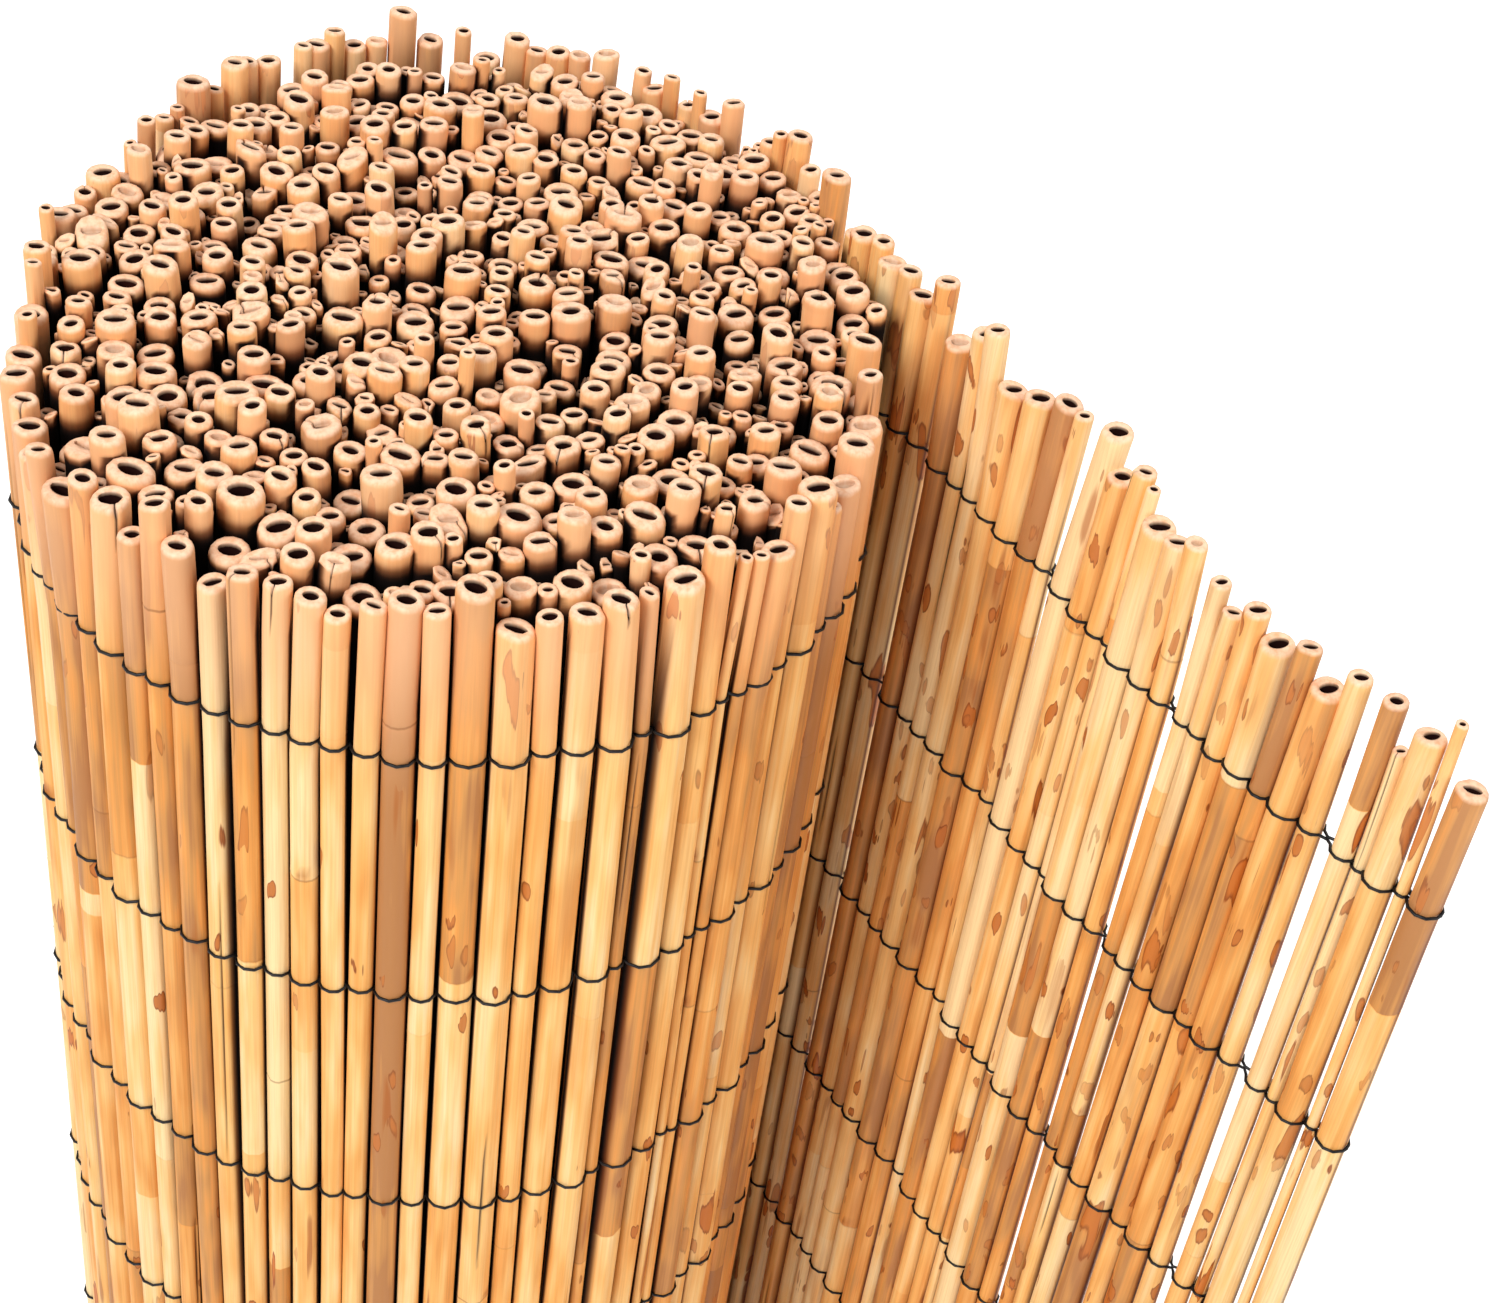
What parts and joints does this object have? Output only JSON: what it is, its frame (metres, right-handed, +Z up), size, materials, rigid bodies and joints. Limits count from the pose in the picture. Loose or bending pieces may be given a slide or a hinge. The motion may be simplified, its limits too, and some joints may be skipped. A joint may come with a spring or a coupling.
{
  "type": "peeled reed screen",
  "caption": "Rolled peeled reed garden screen standing on end, with wire-bound upright reeds and its free end led away as a flap.",
  "frame": {"origin": "middle of the roll's foot, on the floor", "axes": "+Z up along the reeds, -Y towards the side from which the roll and the inside of the flap are seen, the flap on the +X side"},
  "size_m": [0.4032, 0.3598, 1],
  "materials": {
    "peeled_reed": "peeled and dried reed stems, smooth with a soft sheen",
    "binding_wire": "thin dark annealed iron wire"
  },
  "bodies": {
    "root": {"reed_mat": "peeled_reed", "binding_wire_01": "binding_wire", "binding_wire_02": "binding_wire", "binding_wire_03": "binding_wire", "binding_wire_04": "binding_wire", "binding_wire_05": "binding_wire", "binding_wire_06": "binding_wire", "binding_wire_07": "binding_wire", "binding_wire_08": "binding_wire", "binding_wire_09": "binding_wire", "binding_wire_10": "binding_wire"}
  },
  "joints": []
}
